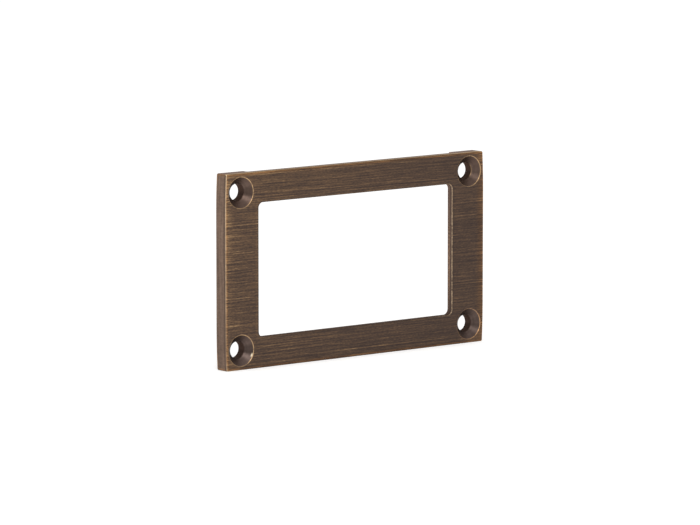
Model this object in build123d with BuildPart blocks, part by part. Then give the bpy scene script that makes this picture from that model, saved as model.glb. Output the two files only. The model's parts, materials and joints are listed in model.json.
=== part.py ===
from build123d import *
import os

# Drawer label holder: one flat brass frame, screwed to a drawer front at its four corners.
# A paper label drops into the recess on its back from the open top and shows in the window.
# Millimetres. +X runs along the width, +Z is up, and the front faces -Y.
# The back face lies on Y = 0, with the origin midway between the four screw holes.

# Outline of the plate, whose ends fall back a little towards the corners
plate_width = 75.0
plate_height = 44.0
plate_thickness = 3.6
end_flat_height = 26.0
end_fall = 0.25
plate_corner_radius = 0.4

# Edges eased by polishing, in front and behind
front_edge_radius = 0.15
back_edge_radius = 0.3

# Window, set by the rails that are left around it
side_rail_width = 9.35
end_rail_height = 6.9
window_corner_radius = 1.25

# Label recess behind the window, closed at the sides and below
lip_thickness = 1.8
label_overlap_side = 1.85
label_overlap_bottom = 1.85
recess_corner_radius = 1.0
recess_foot_radius = 0.5

# Countersunk screw holes, one in each corner, for flat-headed 3.5 mm wood screws
screw_diameter = 3.5
screw_clearance = 0.4
countersink_diameter = 7.1
countersink_angle = 90
hole_inset_x = 4.35
hole_inset_z = 4.35
rim_edge_radius = 0.25

# Sizes that follow
end_x = plate_width / 2
corner_x = end_x - end_fall
corner_z = plate_height / 2
window_width = plate_width - 2 * side_rail_width
window_height = plate_height - 2 * end_rail_height
recess_width = window_width + 2 * label_overlap_side
recess_height = plate_height - end_rail_height + label_overlap_bottom
recess_depth = plate_thickness - lip_thickness
hole_diameter = screw_diameter + screw_clearance
hole_spacing_x = plate_width - 2 * hole_inset_x
hole_spacing_z = plate_height - 2 * hole_inset_z

back_plane = Plane.XZ
front_plane = Plane.XZ.offset(plate_thickness)

with BuildPart() as label_plate:
    # The blank grows forwards from the face that lies on the drawer
    with BuildSketch(back_plane) as outline:
        with BuildLine():
            end_flat = Line((end_x, -end_flat_height / 2), (end_x, end_flat_height / 2))
            TangentArc(end_flat @ 1, (corner_x, corner_z), tangent=end_flat % 1)
            TangentArc(end_flat @ 0, (corner_x, -corner_z), tangent=-(end_flat % 0))
            mirror(about=Plane.YZ)
            Line((-corner_x, corner_z), (corner_x, corner_z))
            Line((-corner_x, -corner_z), (corner_x, -corner_z))
        make_face()
        top_corners = outline.vertices().group_by(Axis.Y)[-1]
        bottom_corners = outline.vertices().group_by(Axis.Y)[0]
        fillet(top_corners + bottom_corners, plate_corner_radius)
    extrude(amount=plate_thickness)

    # The window goes right through
    with BuildSketch(back_plane):
        RectangleRounded(window_width, window_height, window_corner_radius)
    extrude(amount=plate_thickness, mode=Mode.SUBTRACT)

    # The label recess is cut into the back and runs out through the top edge
    with BuildSketch(back_plane) as recess_outline:
        with Locations((0, plate_height / 2)):
            Rectangle(recess_width, recess_height, align=(Align.CENTER, Align.MAX))
        lower_corners = recess_outline.vertices().group_by(Axis.Y)[0]
        fillet(lower_corners, recess_corner_radius)
    extrude(amount=recess_depth, mode=Mode.SUBTRACT)

    # The foot of the recess walls is rounded, and so are the back edges
    recess_floor = label_plate.faces().filter_by(Axis.Y).sort_by(Axis.Y)[1]
    floor_edges = recess_floor.outer_wire().edges()
    mouth_edge = floor_edges.sort_by(Axis.Z)[-1]
    fillet(floor_edges - [mouth_edge], recess_foot_radius)
    back_face = label_plate.faces().filter_by(Axis.Y).sort_by(Axis.Y)[-1]
    recess_floor = label_plate.faces().filter_by(Axis.Y).sort_by(Axis.Y)[1]
    window_back_edges = recess_floor.inner_wires()[0].edges()
    fillet(back_face.outer_wire().edges() + window_back_edges, back_edge_radius)

    # The screw holes are countersunk from the front
    with Locations(front_plane):
        with GridLocations(hole_spacing_x, hole_spacing_z, 2, 2):
            CounterSinkHole(
                radius=hole_diameter / 2,
                counter_sink_radius=countersink_diameter / 2,
                depth=plate_thickness,
                counter_sink_angle=countersink_angle,
            )

    # The outline, the window and the countersink rims are eased in front
    front_face = label_plate.faces().sort_by(Axis.Y)[0]
    front_loops = front_face.inner_wires().sort_by(SortBy.LENGTH)
    rim_edges = [edge for loop in front_loops[:-1] for edge in loop.edges()]
    fillet(front_face.outer_wire().edges() + front_loops[-1].edges(), front_edge_radius)
    fillet(rim_edges, rim_edge_radius)

label_plate.part.label = "label_plate"

os.makedirs("parts", exist_ok=True)
export_step(label_plate.part, "parts/label_plate.step")
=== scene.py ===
import json
import math
from types import SimpleNamespace

import bpy
from mathutils import Euler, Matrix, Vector


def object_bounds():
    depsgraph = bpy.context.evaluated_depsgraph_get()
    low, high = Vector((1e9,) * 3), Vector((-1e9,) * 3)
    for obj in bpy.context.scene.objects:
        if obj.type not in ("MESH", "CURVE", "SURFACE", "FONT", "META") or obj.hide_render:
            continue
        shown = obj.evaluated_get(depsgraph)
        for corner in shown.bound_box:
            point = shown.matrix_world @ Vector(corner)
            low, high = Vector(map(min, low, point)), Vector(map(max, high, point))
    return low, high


# Drawer label holder: one flat plate of brass with a dark antique patina, brushed along its
# length and rubbed back to brass on its edges and on the rims of its countersinks.
# Metres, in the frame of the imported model: +X along the width, +Z up, front face towards -Y.
# The finish is laid out in millimetres, and its masks run from 0 to 1.

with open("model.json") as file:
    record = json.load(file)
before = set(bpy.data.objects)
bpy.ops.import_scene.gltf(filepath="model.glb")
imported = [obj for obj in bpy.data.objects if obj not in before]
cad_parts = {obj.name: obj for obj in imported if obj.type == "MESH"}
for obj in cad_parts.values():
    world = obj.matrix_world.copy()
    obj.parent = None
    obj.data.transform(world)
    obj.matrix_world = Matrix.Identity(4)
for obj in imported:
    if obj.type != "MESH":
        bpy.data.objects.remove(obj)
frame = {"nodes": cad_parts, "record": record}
cad_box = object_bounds()
plate = frame["nodes"]["label_plate"]

# Sizes of the plate that the frame gives, in millimetres
millimetres = 1000.0
half_width = cad_box[1].x * millimetres
half_height = cad_box[1].z * millimetres
thickness = -cad_box[0].y * millimetres
mount_sizes = {mount["name"]: mount["dims"] for mount in frame["record"]["mounts"]}
screw_holes = mount_sizes["screw_holes"]
hole_x = screw_holes["spacing_x_mm"] / 2
hole_z = screw_holes["spacing_y_mm"] / 2
bore_radius = screw_holes["hole_r_mm"]

# Other sizes of the plate that the finish follows, in millimetres
countersink_radius = 3.55
end_flat_half = 13.0
end_fall = 0.25
window_half_width = 28.15
window_half_height = 15.1
window_corner_radius = 1.25

# Camera, solved from the corners, the window and the countersinks in the photograph
camera_place = Vector((-0.76525, -0.93807, 0.15932))
camera_yaw = math.radians(39.24)
camera_pitch = math.radians(7.545)
camera_lens = 277.897
camera_sensor = 36.0
camera_near = 0.01
camera_far = 50.0

# Floor and light
floor_size = 8.0
floor_colour = (0.90, 0.90, 0.90, 1.0)
floor_roughness = 0.9
floor_shine = 0.0
floor_glow_colour = (1.0, 1.0, 1.0, 1.0)
floor_glow = 0.38
world_colour = (1.0, 0.99, 0.98, 1.0)
world_strength = 0.70
key_place = Vector((-0.55, -0.75, 0.62))
key_size = 0.70
key_watts = 5.0

# The metal: how metallic it is, what it keeps of its usual white shine at a glancing angle,
# and the strength of its relief, with its depth in metres
metal_share = 0.92
edge_shine = (0.48, 0.44, 0.42, 1.0)
relief_strength = 1.0
relief_depth = 0.000003

# Colours of the front, linear, from the bottom of the patina to bare brass
patina_deep = (0.045, 0.0335, 0.032, 1.0)
patina_brown = (0.074, 0.0505, 0.040, 1.0)
patina_tawny = (0.118, 0.075, 0.050, 1.0)
patina_golden = (0.187, 0.115, 0.066, 1.0)
brass_worn = (0.34, 0.22, 0.115, 1.0)
brass_bare_and_highlight = (0.62, 0.46, 0.30, 1.0)
front_ramp = [
    (0.0, patina_deep),
    (0.28, patina_brown),
    (0.50, patina_tawny),
    (0.72, patina_golden),
    (1.0, brass_worn),
]

# Colours of the side faces and of the holes
oxide_dark = (0.110, 0.078, 0.062, 1.0)
oxide_grey = (0.190, 0.129, 0.097, 1.0)
oxide_light = (0.270, 0.188, 0.140, 1.0)
side_ramp = [(0.0, oxide_dark), (0.5, oxide_grey), (1.0, oxide_light)]
cone_dark = (0.078, 0.050, 0.039, 1.0)
cone_brown = (0.136, 0.093, 0.075, 1.0)
hole_ramp = [(0.0, cone_dark), (1.0, cone_brown)]
# Painted shade in the bores
bore_painted_shade = (0.046, 0.027, 0.021, 1.0)

# Colours of worn edges and rims, and of painted highlights
copper_worn = (0.44, 0.235, 0.100, 1.0)
copper_dull = (0.37, 0.235, 0.150, 1.0)
rim_gold = (0.60, 0.39, 0.20, 1.0)
rim_copper = (0.62, 0.35, 0.165, 1.0)
top_gold_highlight = (1.0, 0.74, 0.41, 1.0)
glint = (1.0, 0.86, 0.62, 1.0)

# Tints, which a colour is multiplied by
copper_tint = (1.10, 0.90, 0.72, 1.0)
wall_tint = (0.84, 0.82, 0.84, 1.0)
# The top tint is painted light on the top face
top_painted_light_tint = (1.85, 1.87, 2.02, 1.0)
# The shaded tint is painted shade on front edges
shaded_tint = (0.35, 0.33, 0.32, 1.0)
low_cone_tint = (1.0, 1.06, 1.14, 1.0)

# Zones: a mask rises from 0 at the first value to 1 at the second, which may be the smaller.
# By the share of the normal that points along Y
flat_zone = (0.90, 0.99)
# By the distance from the nearest hole's axis
cone_zone = (countersink_radius + 0.10, countersink_radius - 0.02)
bore_zone = (bore_radius + 0.12, bore_radius)
# By the depth below the front face
cone_depth_zone = (2.0, 1.8)
fore_zone = (1.1, 0.7)
near_front_zone = (0.20, 0.05)
# By the distance from the middle of the plate along X
rail_zone = (26.0, 31.0)
near_corner_zone = (22.0, 31.0)
# By the distance from the ends, and from the long edges
corner_end_zone = (9.0, 3.0)
corner_long_zone = (7.0, 2.0)
left_end_zone = (0.8, 0.3)
# By the place along X
left_zone = (0.0, -1.0)
window_right_zone = (20.0, 27.0)
holes_right_zone = (25.0, 31.0)
lower_left_x_zone = (-31.0, -37.0)
# By the place along Z
low_zone = (-11.0, -15.0)
lower_left_z_zone = (-20.0, -21.8)
top_edge_zone = (half_height - 0.25, half_height - 0.10)
top_face_zone = (half_height - 0.20, half_height - 0.05)
# By the distance outwards from the window's outline
window_wall_zone = (0.35, 0.10)

# Lines in millimetres, each the middle and the half width: two dark bands by their depth
# below the front face, and the others by how far they lie round a front edge
front_band = (0.55, 0.34)
back_band = (2.80, 0.30)
dark_line = (0.0, 0.22)
window_line = (-0.08, 0.28)
top_line_and_highlight = (-0.19, 0.30)

# The worn rim of a countersink: how far inside its edge the middle lies, and the half width
rim_inset = 0.03
rim_half = 0.11

# Brushing along X: waves per millimetre along X, a place of its own in the noise, waves per
# millimetre across, and the noise's detail and roughness where they differ from the plain ones
waver_brushing = (0.05, 7.3, 0.12)
band_brushing = (0.012, 0.4, 0.9, 1.0)
streak_brushing = (0.045, 1.7, 3.6)
line_brushing = (0.10, 5.2, 6.2, 1.0, 0.6)
short_line_brushing = (0.36, 9.4, 6.5, 1.0, 0.6)
hairline_brushing = (0.25, 2.6, 9.0, 1.0, 0.6)
grain_brushing = (1.4, 4.1, 5.5, 1.0, 0.6)

# How far the brushing wavers, in millimetres, and how much it leans. A streak is set off from
# those at a gap above and below it.
streak_waver = 0.10
line_waver = 0.08
line_rise = 0.016
line_fall = -0.012
streak_gap = 0.29
streak_contrast = -0.45

# Marks in three dimensions: waves per millimetre along X, Y and Z, then detail and roughness
cloud_marks = (0.16, 0.16, 0.16, 2.0)
patch_marks = (0.9, 0.9, 0.9, 2.0, 0.6)
speck_marks = (2.3, 2.3, 2.3, 1.0)
wall_speck_marks = (1.5, 3.4, 2.6, 2.0, 0.6)
side_marks = (0.12, 4.4, 0.14, 2.0, 0.75)
side_grain_marks = (2.4, 0.8, 2.4, 2.0, 0.6)
side_cloud_marks = (0.30, 0.6, 0.30, 2.0, 0.6)

# Turning marks in the holes: waves per millimetre outwards from the axis and along it, a place
# in the noise and the noise's detail
turning_outwards = 6.0
turning_along = 4.0
turning_place = 4.4
turning_detail = 1.0

# How far the patina is rubbed through: in the middle, and its change per millimetre along X
# and Z, lighter towards the upper left as partly wear and partly painted light. Then the
# strength of the marks in it, and that strength's change along X.
rub_middle = 0.37
rub_and_light_along_x = -0.0018
rub_and_light_along_z = 0.0018
marks_strength = 0.97
marks_along_x = -0.0035

# The brushing marks that stand out, lengths in millimetres: where each starts and ends along X,
# its Z in the middle, its slope and how bright it is (dark below zero)
strokes = [
    (-36.5, -29.0, 12.7, 0.03, -0.8),
    (-36.5, -29.0, 9.4, -0.03, 0.8),
    (-36.5, -28.8, 4.2, 0.0, 1.7),
    (-36.0, -30.0, 0.9, 0.0, 0.6),
    (-36.5, -29.0, -5.9, 0.03, 0.5),
    (-36.0, -30.0, -10.9, 0.03, 1.2),
    (29.0, 36.6, 10.53, 0.01, -0.6),
    (27.6, 35.8, 7.6, -0.015, 1.5),
    (29.0, 36.6, 4.2, 0.0, 0.6),
    (31.0, 36.6, -0.4, -0.015, 0.9),
    (29.0, 36.5, -6.6, -0.015, 0.5),
    (-28.0, -2.0, 21.4, 0.0, 1.0),
    (-28.0, 0.0, 19.6, -0.024, 0.8),
    (-28.0, 27.0, 19.0, 0.0, -0.4),
    (-28.0, 27.0, 16.9, -0.0165, 0.8),
    (-28.0, 27.0, 16.4, -0.007, -0.5),
    (-28.0, -12.0, -17.2, 0.0, 0.8),
    (-28.0, -12.0, -18.5, -0.015, 0.6),
    (-14.0, 27.0, -20.25, 0.0, 0.7),
    (-28.0, 27.0, -20.7, 0.0, -0.5),
]
stroke_half = 0.14
stroke_fade = 1.5
stroke_waver = 0.05
stroke_break = 0.9
stroke_rub = 0.27


class Nodes:
    """Short calls that build one material. A value is a number, a colour or a node's output."""

    def __init__(self, name):
        self.material = bpy.data.materials.new(name)
        self.material.use_nodes = True
        self.tree = self.material.node_tree
        self.shader = self.tree.nodes["Principled BSDF"]

    def feed(self, socket, value):
        if isinstance(value, bpy.types.NodeSocket):
            self.tree.links.new(value, socket)
        else:
            socket.default_value = value

    def coordinates(self, kind):
        """The three parts of one kind of texture coordinates."""
        source = self.tree.nodes.new("ShaderNodeTexCoord")
        split = self.tree.nodes.new("ShaderNodeSeparateXYZ")
        self.tree.links.new(source.outputs[kind], split.inputs["Vector"])
        return split.outputs

    def math(self, operation, *values):
        node = self.tree.nodes.new("ShaderNodeMath")
        node.operation = operation
        for socket, value in zip(node.inputs, values):
            self.feed(socket, value)
        return node.outputs[0]

    def add(self, first, *others):
        total = first
        for value in others:
            total = self.math("ADD", total, value)
        return total

    def times(self, first, *others):
        product = first
        for value in others:
            product = self.math("MULTIPLY", product, value)
        return product

    def less(self, first, second):
        return self.math("SUBTRACT", first, second)

    def larger(self, first, second):
        return self.math("MAXIMUM", first, second)

    def smaller(self, first, second):
        return self.math("MINIMUM", first, second)

    def absolute(self, value):
        return self.math("ABSOLUTE", value)

    def length(self, first, second):
        """Length of the line whose two parts, at right angles, are given."""
        return self.math("SQRT", self.add(self.times(first, first), self.times(second, second)))

    def sum(self, base, *parts):
        """The base plus each part, a pair of a value and its weight, multiplied."""
        return self.add(base, *[self.times(value, weight) for value, weight in parts])

    def rest(self, share):
        """What a share leaves of 1."""
        return self.less(1.0, share)

    def limit(self, value, low=0.0, high=1.0):
        return self.smaller(self.larger(value, low), high)

    def step(self, value, start, end):
        """0 before start, 1 after end and a smooth rise between them; start may be the larger."""
        node = self.tree.nodes.new("ShaderNodeMapRange")
        node.interpolation_type = "SMOOTHSTEP"
        self.feed(node.inputs["Value"], value)
        self.feed(node.inputs["From Min"], start)
        self.feed(node.inputs["From Max"], end)
        return node.outputs["Result"]

    def bell(self, value, centre, half):
        """1 at centre, falling smoothly to 0 at half away from it on both sides."""
        return self.step(self.absolute(self.less(value, centre)), half, 0.0)

    def noise(self, x, y, z, detail=0.0, roughness=0.5):
        """Noise from -1 to 1, with one wave in about one unit of each coordinate."""
        place = self.tree.nodes.new("ShaderNodeCombineXYZ")
        self.feed(place.inputs["X"], x)
        self.feed(place.inputs["Y"], y)
        self.feed(place.inputs["Z"], z)
        node = self.tree.nodes.new("ShaderNodeTexNoise")
        node.inputs["Scale"].default_value = 1.0
        node.inputs["Detail"].default_value = detail
        node.inputs["Roughness"].default_value = roughness
        self.tree.links.new(place.outputs["Vector"], node.inputs["Vector"])
        return self.math("MULTIPLY_ADD", node.outputs["Fac"], 2.0, -1.0)

    def brushing(self, x, across, waves_along, place, waves_across, detail=0.0, roughness=0.5):
        """Noise drawn out along X."""
        along = self.times(x, waves_along)
        return self.noise(along, place, self.times(across, waves_across), detail, roughness)

    def marks(self, at, waves_x, waves_y, waves_z, detail=0.0, roughness=0.5):
        """Noise by the place on the plate."""
        x = self.times(at.x, waves_x)
        y = self.times(at.y, waves_y)
        z = self.times(at.z, waves_z)
        return self.noise(x, y, z, detail, roughness)

    def mix(self, share, first, second, blend="MIX"):
        node = self.tree.nodes.new("ShaderNodeMix")
        node.data_type = "RGBA"
        node.blend_type = blend
        self.feed(node.inputs[0], share)
        self.feed(node.inputs[6], first)
        self.feed(node.inputs[7], second)
        return node.outputs[2]

    def tint(self, share, colour, factor):
        return self.mix(share, colour, factor, "MULTIPLY")

    def scale(self, colour, factor):
        node = self.tree.nodes.new("ShaderNodeVectorMath")
        node.operation = "SCALE"
        self.feed(node.inputs[0], colour)
        self.feed(node.inputs["Scale"], factor)
        return node.outputs[0]

    def ramp(self, value, stops):
        node = self.tree.nodes.new("ShaderNodeValToRGB")
        elements = node.color_ramp.elements
        while len(elements) < len(stops):
            elements.new(0.5)
        for element, (position, colour) in zip(elements, stops):
            element.position = position
            element.color = colour
        self.feed(node.inputs["Fac"], value)
        return node.outputs["Color"]


# In the functions of the finish, g builds the material, at holds where a point lies, zone
# holds masks and mark holds noise


def place_on_plate(g):
    """Where a point lies on the plate, in millimetres."""
    at = SimpleNamespace()
    place = g.coordinates("Object")
    at.x = g.times(place["X"], millimetres)
    at.y = g.times(place["Y"], millimetres)
    at.z = g.times(place["Z"], millimetres)
    at.depth = g.add(at.y, thickness)
    at.across = g.absolute(at.x)
    at.up = g.absolute(at.z)

    # From the outline inwards. The two ends fall back a little towards the corners.
    past_flat = g.larger(g.less(at.up, end_flat_half), 0.0)
    fall = g.times(past_flat, past_flat, end_fall / (half_height - end_flat_half) ** 2)
    at.from_ends = g.less(g.less(half_width, fall), at.across)
    at.from_long_edges = g.less(half_height, at.up)
    at.from_outline = g.smaller(at.from_ends, at.from_long_edges)

    # From the window's outline outwards, and below zero inside it
    past_x = g.less(at.across, window_half_width - window_corner_radius)
    past_z = g.less(at.up, window_half_height - window_corner_radius)
    corner_reach = g.length(g.larger(past_x, 0.0), g.larger(past_z, 0.0))
    inner_reach = g.smaller(g.larger(past_x, past_z), 0.0)
    at.from_window = g.less(g.add(corner_reach, inner_reach), window_corner_radius)

    # Round a front edge: 0 in its middle, above zero on the front and below it on the side
    at.round_outline = g.less(at.from_outline, at.depth)
    at.round_window = g.less(at.from_window, at.depth)

    # From the nearest hole's axis, and how far that direction points right and up, from -1 to 1
    from_axis_x = g.less(at.x, g.times(g.math("SIGN", at.x), hole_x))
    from_axis_z = g.less(at.z, g.times(g.math("SIGN", at.z), hole_z))
    at.from_axis = g.length(from_axis_x, from_axis_z)
    at.hole_right = g.math("DIVIDE", from_axis_x, at.from_axis)
    at.hole_top = g.math("DIVIDE", from_axis_z, at.from_axis)
    return at


def zones_of_plate(g, at):
    """Masks for the parts of the plate that are finished differently."""
    zone = SimpleNamespace()
    zone.flat = g.step(g.absolute(g.coordinates("Normal")["Y"]), *flat_zone)
    cone = g.times(g.step(at.from_axis, *cone_zone), g.step(at.depth, *cone_depth_zone))
    zone.bore = g.step(at.from_axis, *bore_zone)
    zone.hole = g.larger(cone, zone.bore)
    zone.fore = g.step(at.depth, *fore_zone)
    zone.near_front = g.step(at.depth, *near_front_zone)
    zone.front = g.times(zone.near_front, g.rest(zone.hole))
    zone.rails = g.step(at.across, *rail_zone)
    zone.near_corner = g.step(at.across, *near_corner_zone)
    corner_ends = g.step(at.from_ends, *corner_end_zone)
    zone.corners = g.times(corner_ends, g.step(at.from_long_edges, *corner_long_zone))
    zone.left = g.step(at.x, *left_zone)
    zone.low = g.step(at.z, *low_zone)
    zone.low_right = g.times(g.step(at.x, *holes_right_zone), zone.low)
    zone.window_right = g.step(at.x, *window_right_zone)
    zone.window_wall = g.step(at.from_window, *window_wall_zone)
    zone.left_edge = g.times(g.step(at.from_ends, *left_end_zone), zone.left)
    zone.top_edge = g.step(at.z, *top_edge_zone)
    zone.lower_left = g.times(g.step(at.x, *lower_left_x_zone), g.step(at.z, *lower_left_z_zone))
    return zone


def marks_on_plate(g, at):
    """Noise for each kind of mark, and a mask of the flecks where the wear breaks through."""
    mark = SimpleNamespace()
    mark.waver = g.brushing(at.x, at.z, *waver_brushing)
    level = g.sum(at.z, (mark.waver, streak_waver))
    rising = g.sum(at.z, (at.x, line_rise), (mark.waver, line_waver))
    falling = g.sum(at.z, (at.x, line_fall), (mark.waver, line_waver))
    mark.bands = g.brushing(at.x, level, *band_brushing)
    middle = g.brushing(at.x, level, *streak_brushing)
    above = g.brushing(at.x, g.add(level, streak_gap), *streak_brushing)
    below = g.brushing(at.x, g.less(level, streak_gap), *streak_brushing)
    mark.streaks = g.sum(middle, (above, streak_contrast), (below, streak_contrast))
    mark.lines = g.brushing(at.x, rising, *line_brushing)
    mark.short_lines = g.brushing(at.x, falling, *short_line_brushing)
    mark.hairlines = g.brushing(at.x, level, *hairline_brushing)
    mark.grain = g.brushing(at.x, at.z, *grain_brushing)
    mark.cloud = g.marks(at, *cloud_marks)
    mark.patchy = g.marks(at, *patch_marks)
    mark.specks = g.marks(at, *speck_marks)

    # On the side faces the marks run round the plate
    mark.side = g.marks(at, *side_marks)
    mark.side_grain = g.marks(at, *side_grain_marks)
    mark.side_cloud = g.marks(at, *side_cloud_marks)

    fleck = g.sum(mark.lines, (mark.hairlines, 0.7), (mark.short_lines, 0.5))
    mark.fleck = g.step(fleck, -0.15, 0.45)
    return mark


def single_strokes(g, at, mark, rubbed):
    """Adds the strokes that stand out to how far the patina is rubbed through."""
    level = g.sum(at.z, (mark.waver, stroke_waver))
    broken = g.sum(1.0, (mark.short_lines, stroke_break))
    for start, end, middle, slope, brightness in strokes:
        stroke_z = g.add(g.times(at.x, slope), middle - slope * (start + end) / 2)
        stroke = g.times(
            g.bell(level, stroke_z, stroke_half),
            g.step(at.x, start, start + stroke_fade),
            g.step(at.x, end, end - stroke_fade),
            broken,
        )
        rubbed = g.sum(rubbed, (stroke, brightness * stroke_rub))
    return rubbed


def wear_from_edges(g, at, zone, mark):
    """Wear that fades inwards from the ends and, near the corners, from the long edges."""
    end_share = g.sum(0.11, (at.z, 0.003), (at.x, -0.0008))
    end_wear = g.times(g.step(at.from_ends, 2.8, 0.2), end_share)
    long_share = g.times(g.step(at.z, -half_height, half_height), zone.near_corner, 0.13)
    long_wear = g.times(g.step(at.from_long_edges, 0.9, 0.3), long_share)
    broken = g.sum(0.35, (mark.fleck, 1.7), (mark.cloud, 0.6))
    return g.times(g.larger(end_wear, long_wear), broken)


def rub_of_front(g, at, zone, mark):
    """How far the patina is rubbed through on the front, from about 0 to about 1, with painted light
    that lightens it towards the upper left.
    """
    marks = g.sum(
        g.times(mark.bands, 0.07),
        (mark.streaks, g.sum(0.18, (zone.rails, -0.03))),
        (mark.lines, 0.155),
        (mark.short_lines, g.sum(0.12, (zone.rails, 0.06))),
        (mark.hairlines, 0.32),
        (mark.grain, 0.34),
        (mark.cloud, 0.06),
    )
    strength = g.sum(marks_strength, (at.x, marks_along_x))
    rubbed = g.sum(rub_middle, (at.x, rub_and_light_along_x), (at.z, rub_and_light_along_z), (marks, strength))
    rubbed = single_strokes(g, at, mark, rubbed)

    # The brightest and the darkest lines
    brushed = g.sum(mark.lines, (mark.streaks, 0.5), (mark.short_lines, 0.35))
    bright_lines = g.step(brushed, 0.42, 0.90)
    dark_lines = g.step(brushed, -0.42, -0.90)
    rubbed = g.sum(rubbed, (bright_lines, 0.25), (dark_lines, -0.05))

    # The outline and the corners
    rubbed = g.add(rubbed, wear_from_edges(g, at, zone, mark))
    low_right_corner = g.times(zone.corners, zone.low_right)
    rubbed = g.sum(rubbed, (zone.corners, 0.09), (low_right_corner, 0.10))

    # The strips beside the window, and the right rail
    beside_right = g.times(g.bell(at.from_window, 0.42, 0.28), zone.window_right)
    beside_left = g.times(g.bell(at.from_window, 0.65, 0.45), g.step(at.x, -27.0, -28.5))
    right_share = g.sum(0.03, (g.step(at.z, -2.0, -10.0), 0.07))
    right_wear = g.times(g.step(at.x, 34.8, 37.0), right_share)
    low_rail = g.times(g.bell(at.z, -12.0, 4.0), g.step(at.x, 27.0, 29.0))
    rubbed = g.sum(rubbed, (beside_right, -0.08), (beside_left, 0.08), (low_rail, 0.05))
    return g.add(rubbed, right_wear)


def colour_of_front(g, at, mark, rubbed):
    """Patina by how far it is rubbed through, and more coppery along the outline."""
    along_outline = g.step(at.from_outline, 0.75, 0.2)
    along_outline = g.times(along_outline, g.sum(0.85, (mark.cloud, 0.8)))
    at_right = g.times(g.step(at.x, 34.8, 36.8), 0.45)
    return g.tint(g.larger(along_outline, at_right), g.ramp(rubbed, front_ramp), copper_tint)


def colour_of_sides(g, at, zone, mark):
    """Greyer oxide, with a dark band behind the front edge and one near the back."""
    round_marks = g.sum(mark.side, (mark.side_cloud, 0.2))
    round_marks = g.times(round_marks, g.rest(g.times(zone.flat, 0.75)))
    tone = g.sum(g.add(0.46, round_marks), (mark.side_grain, 0.4), (at.z, 0.006))
    bands = g.sum(g.times(g.bell(at.depth, *front_band), 0.60), (g.bell(at.depth, *back_band), 0.20))
    tone = g.less(tone, g.times(bands, g.rest(zone.flat)))

    # The back is brushed along X too
    back_lines = g.sum(
        g.times(mark.lines, 0.35),
        (mark.hairlines, 0.5),
        (mark.grain, 0.25),
        (mark.side_cloud, -0.10),
    )
    colour = g.ramp(g.sum(tone, (back_lines, zone.flat)), side_ramp)
    # Painted light: the top face is painted lighter, where it catches the light from above
    top_face = g.times(g.step(at.z, *top_face_zone), 0.9)
    colour = g.tint(top_face, colour, top_painted_light_tint)
    return g.tint(zone.window_wall, colour, wall_tint)


def colour_of_holes(g, at, zone, mark):
    """Countersinks and bores: unbrushed satin patina with faint turning marks, and painted shade."""
    outwards = g.times(at.from_axis, turning_outwards)
    along_axis = g.times(at.y, turning_along)
    turned = g.noise(outwards, along_axis, turning_place, turning_detail)
    tone = g.sum(0.5, (turned, 0.3), (mark.side_cloud, 0.5), (mark.side_grain, 0.2))
    colour = g.ramp(tone, hole_ramp)

    # Painted shade: a cone is painted darker on its right, where its wall faces the key light,
    # towards its top and towards the plate's right
    toward_key = g.less(g.times(at.hole_right, 0.82), g.times(at.hole_top, 0.57))
    right_shade = g.sum(-0.38, (at.x, 0.004))
    key_shade = g.sum(-0.32, (at.x, -0.002), (zone.low, -0.12))
    shade = g.sum(
        1.16,
        (at.hole_top, -0.16),
        (g.times(at.hole_right, at.hole_top), 0.10),
        (g.step(at.hole_right, 0.85, 1.0), right_shade),
        (g.step(toward_key, 0.80, 1.0), key_shade),
        (at.x, -0.002),
    )
    colour = g.tint(g.step(at.z, 6.0, -6.0), g.scale(colour, shade), low_cone_tint)
    # Painted shade: the bores are painted dark
    return g.mix(g.times(zone.bore, 0.85), colour, bore_painted_shade)


def copper_front_edges(g, at, zone, mark, colour):
    """Copper just inside the front's outline, most along the two ends."""
    right_share = g.sum(0.3, (g.step(at.up, 5.0, 15.0), 1.1))
    right_edge = g.times(g.step(at.x, 36.4, 36.9), right_share)
    line = g.bell(at.round_outline, g.sum(0.30, (right_edge, -0.16)), 0.28)
    share = g.sum(0.30, (zone.left_edge, 0.55), (zone.lower_left, 0.36), (right_edge, 0.6))
    broken = g.sum(0.15, (mark.fleck, 1.1))
    copper = g.smaller(g.times(line, zone.near_front, share, broken), 0.9)
    return g.mix(copper, colour, copper_worn)


def copper_wall_specks(g, at, zone, colour):
    """Fine specks on the window's right wall, densest a little below its middle."""
    specks = g.step(g.marks(at, *wall_speck_marks), -0.15, 0.35)
    specks = g.sum(0.10, (specks, 0.85))
    behind_edge = g.step(at.depth, 0.45, 0.95)
    before_back = g.step(at.depth, 1.70, 1.40)
    near_middle = g.step(g.absolute(g.add(at.z, 2.0)), 13.0, 3.0)
    specks = g.times(specks, behind_edge, before_back, near_middle)
    return g.mix(g.times(specks, zone.window_wall, zone.window_right), colour, copper_dull)


def copper_ends(g, at, mark, colour):
    """The ends are worn along their back edge near the corners, and at their two tips."""
    on_end = g.step(at.from_ends, 0.25, 0.05)
    behind_front = g.step(at.depth, 0.4, 0.7)
    near_back = g.step(at.depth, 3.0, 3.4)
    near_corner = g.step(at.up, 14.0, 20.0)
    at_tip = g.step(at.from_long_edges, 0.75, 0.1)
    wear = g.larger(g.times(near_back, near_corner, 0.50), g.times(at_tip, 0.45))
    broken = g.sum(1.1, (mark.side_grain, 1.5))
    copper = g.times(on_end, behind_front, wear, broken)
    return g.mix(g.larger(copper, 0.0), colour, copper_worn)


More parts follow.
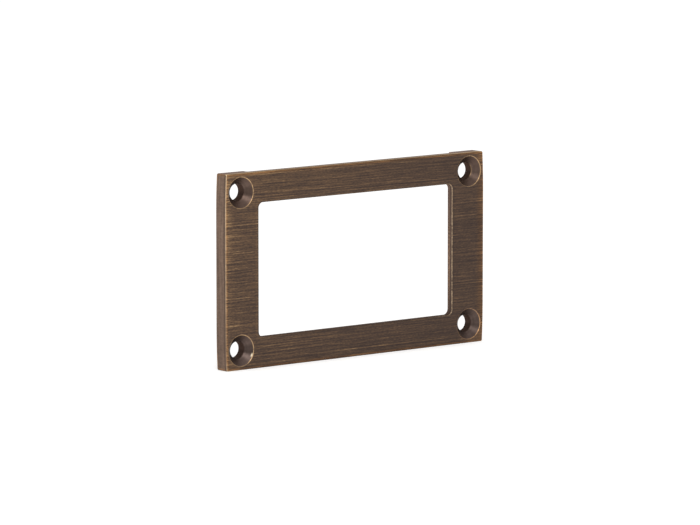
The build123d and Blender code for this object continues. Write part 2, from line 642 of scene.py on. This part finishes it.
def painted_shade_on_edges(g, at, zone, colour):
    """Painted shade on front edges: the outline's right and bottom, the window's left and bottom."""
    at_right = g.step(at.x, 35.0, 36.5)
    near_corner = g.step(at.up, 8.0, 16.0)
    at_bottom = g.step(at.z, -20.5, -21.4)
    outside_upper_left = g.step(g.less(at.x, at.z), -20.0, 0.0)
    outline = g.times(
        g.bell(at.round_outline, *dark_line),
        zone.fore,
        g.larger(g.times(at_right, 0.4), g.times(at_bottom, 0.7)),
        g.rest(g.times(at_right, near_corner)),
        outside_upper_left,
    )
    window_left = g.step(at.x, -26.0, -28.0)
    window_bottom = g.step(at.z, -14.0, -15.0)
    window = g.times(
        g.bell(at.round_window, *dark_line),
        zone.fore,
        g.larger(g.times(window_left, 0.3), g.times(window_bottom, 0.1)),
        g.rest(zone.window_right),
    )
    return g.tint(g.times(g.larger(outline, window), 0.75), colour, shaded_tint)


def bare_and_highlit_edges(g, at, zone, mark):
    """Mask of bare brass, partly wear and partly painted highlight: the outline, most at its left end
    and top, and the window's right.
    """
    line_middle = g.sum(g.times(zone.left_edge, 0.03), (zone.top_edge, -0.36))
    line_half = g.sum(0.22, (zone.top_edge, 0.24))
    left_share = g.times(zone.left_edge, g.sum(0.65, (at.z, 0.020)))
    top_share = g.times(zone.top_edge, g.sum(0.55, (zone.near_corner, 0.25)))
    outline_share = g.add(g.sum(0.03, (zone.lower_left, 0.60)), left_share, top_share)
    outline_marks = g.sum(1.0, (mark.patchy, 0.7), (mark.specks, 0.5))
    outline = g.bell(at.round_outline, line_middle, line_half)
    outline = g.times(outline, zone.fore, outline_share, outline_marks)
    window_share = g.sum(0.50, (mark.patchy, 0.70), (mark.specks, 0.80))
    window_share = g.times(zone.window_right, zone.fore, window_share)
    window = g.times(g.bell(at.round_window, *window_line), window_share)
    return g.limit(g.larger(outline, window))


def gold_top_line_and_highlight(g, at, zone, mark, colour):
    """A gold line along the top edge, brighter towards the corners: partly worn brass and partly
    painted highlight.
    """
    share = g.sum(0.76, (zone.near_corner, 0.36), (mark.patchy, 0.4))
    line = g.times(g.bell(at.round_outline, *top_line_and_highlight), zone.top_edge, share)
    return g.mix(g.limit(line), colour, top_gold_highlight)


def worn_and_highlit_rims(g, at, zone, mark, colour):
    """The rims of the countersinks: gold, and copper on the lower right one. They are partly worn
    brass and partly painted highlight, brighter on their right side, most on the right holes,
    brighter at the top of the left holes and fainter at the top of the lower right one.
    """
    middle = g.sum(countersink_radius - rim_inset, (at.hole_right, -0.02))
    near_front = g.step(at.depth, 0.4, 0.15)
    top_share = g.less(g.times(zone.left, 0.30), g.times(zone.low_right, 0.35))
    at_top = g.times(g.larger(at.hole_top, 0.0), top_share)
    at_right = g.times(at.hole_right, g.sum(0.08, (zone.window_right, 0.28)))
    share = g.add(g.sum(0.64, (mark.patchy, 0.65), (mark.specks, 0.75)), at_right, at_top)
    rim = g.times(g.bell(at.from_axis, middle, rim_half), near_front, share)
    return g.mix(g.limit(rim), colour, g.mix(zone.low_right, rim_gold, rim_copper))


def small_glints(g, at, zone, colour):
    """A spot inside the lower left rim, and an arc at the bore of the upper right hole."""
    lower_left_hole = g.times(g.step(at.x, -20.0, -25.0), g.step(at.z, -10.0, -12.0))
    spot = g.times(
        g.bell(at.from_axis, 3.32, 0.20),
        g.bell(at.hole_top, -0.37, 0.18),
        g.step(at.hole_right, 0.5, 0.8),
        lower_left_hole,
        zone.fore,
    )
    colour = g.mix(g.times(spot, 0.60), colour, glint)
    upper_right_hole = g.times(g.step(at.x, 20.0, 25.0), g.step(at.z, 10.0, 12.0))
    arc = g.times(
        g.bell(at.from_axis, bore_radius + 0.05, 0.12),
        g.step(at.hole_right, 0.55, 0.9),
        g.bell(at.depth, 1.55, 0.20),
        upper_right_hole,
    )
    return g.mix(g.times(arc, 0.28), colour, rim_gold)


def gloss(g, zone, mark, rubbed, worn):
    """Roughness: bare metal shines more than patina, and brushing spreads the shine."""
    roughness = g.sum(0.46, (rubbed, -0.12), (worn, -0.10), (mark.hairlines, 0.05))
    wall_share = g.times(zone.window_wall, g.rest(zone.front))
    return g.limit(g.sum(roughness, (wall_share, 0.15)), 0.2, 0.7)


def relief(g, zone, mark):
    """The normal, with the marks in the metal as a bump."""
    front_height = g.sum(g.times(mark.streaks, 0.5), (mark.lines, 0.5), (mark.hairlines, 0.25))
    side_height = g.sum(g.times(mark.side, 0.4), (mark.side_grain, 0.1))
    bump = g.tree.nodes.new("ShaderNodeBump")
    bump.inputs["Strength"].default_value = relief_strength
    bump.inputs["Distance"].default_value = relief_depth
    front_part = g.times(zone.front, front_height)
    g.feed(bump.inputs["Height"], g.sum(front_part, (g.rest(zone.front), side_height)))
    return bump.outputs["Normal"]


def antique_brass():
    g = Nodes("antique_brass_finish")
    at = place_on_plate(g)
    zone = zones_of_plate(g, at)
    mark = marks_on_plate(g, at)

    rubbed = rub_of_front(g, at, zone, mark)
    sides = colour_of_sides(g, at, zone, mark)
    colour = g.mix(zone.front, sides, colour_of_front(g, at, mark, rubbed))
    colour = g.mix(zone.hole, colour, colour_of_holes(g, at, zone, mark))
    colour = copper_front_edges(g, at, zone, mark, colour)
    colour = copper_wall_specks(g, at, zone, colour)
    colour = copper_ends(g, at, mark, colour)
    colour = painted_shade_on_edges(g, at, zone, colour)
    # Bare brass on the edges, partly wear and partly painted highlight
    worn = bare_and_highlit_edges(g, at, zone, mark)
    colour = g.mix(worn, colour, brass_bare_and_highlight)
    # The top line is partly wear and partly painted highlight
    colour = gold_top_line_and_highlight(g, at, zone, mark, colour)
    colour = worn_and_highlit_rims(g, at, zone, mark, colour)
    colour = small_glints(g, at, zone, colour)

    g.feed(g.shader.inputs["Base Color"], colour)
    g.feed(g.shader.inputs["Roughness"], gloss(g, zone, mark, rubbed, worn))
    g.feed(g.shader.inputs["Normal"], relief(g, zone, mark))
    g.shader.inputs["Metallic"].default_value = metal_share
    g.shader.inputs["Specular Tint"].default_value = edge_shine
    return g.material


def plain_floor():
    mesh = bpy.data.meshes.new("floor")
    half = floor_size / 2
    level = cad_box[0].z
    corners = [(-half, -half, level), (half, -half, level), (half, half, level), (-half, half, level)]
    mesh.from_pydata(corners, [], [(0, 1, 2, 3)])
    floor = bpy.data.objects.new("floor", mesh)
    bpy.context.scene.collection.objects.link(floor)
    paint = Nodes("floor_paint")
    paint.shader.inputs["Base Color"].default_value = floor_colour
    paint.shader.inputs["Roughness"].default_value = floor_roughness
    paint.shader.inputs["Specular IOR Level"].default_value = floor_shine
    paint.shader.inputs["Emission Color"].default_value = floor_glow_colour
    paint.shader.inputs["Emission Strength"].default_value = floor_glow
    mesh.materials.append(paint.material)


def key_light():
    """One soft square lamp that points at the plate."""
    lamp = bpy.data.lights.new("key_light", "AREA")
    lamp.shape = "SQUARE"
    lamp.size = key_size
    lamp.energy = key_watts
    holder = bpy.data.objects.new("key_light", lamp)
    holder.location = key_place
    holder.rotation_mode = "QUATERNION"
    holder.rotation_quaternion = (-key_place).to_track_quat("-Z", "Y")
    bpy.context.scene.collection.objects.link(holder)


def studio():
    world = bpy.data.worlds.new("studio")
    world.use_nodes = True
    background = world.node_tree.nodes["Background"]
    background.inputs["Color"].default_value = world_colour
    background.inputs["Strength"].default_value = world_strength
    bpy.context.scene.world = world
    key_light()
    bpy.context.scene.view_settings.view_transform = "Standard"


def photo_camera():
    data = bpy.data.cameras.new("camera")
    data.sensor_width = camera_sensor
    data.lens = camera_lens
    data.clip_start = camera_near
    data.clip_end = camera_far
    camera = bpy.data.objects.new("camera", data)
    camera.location = camera_place
    camera.rotation_euler = Euler((math.radians(90.0) - camera_pitch, 0.0, -camera_yaw))
    bpy.context.scene.collection.objects.link(camera)
    bpy.context.scene.camera = camera


plate.material_slots[0].material = antique_brass()
plain_floor()
studio()
photo_camera()
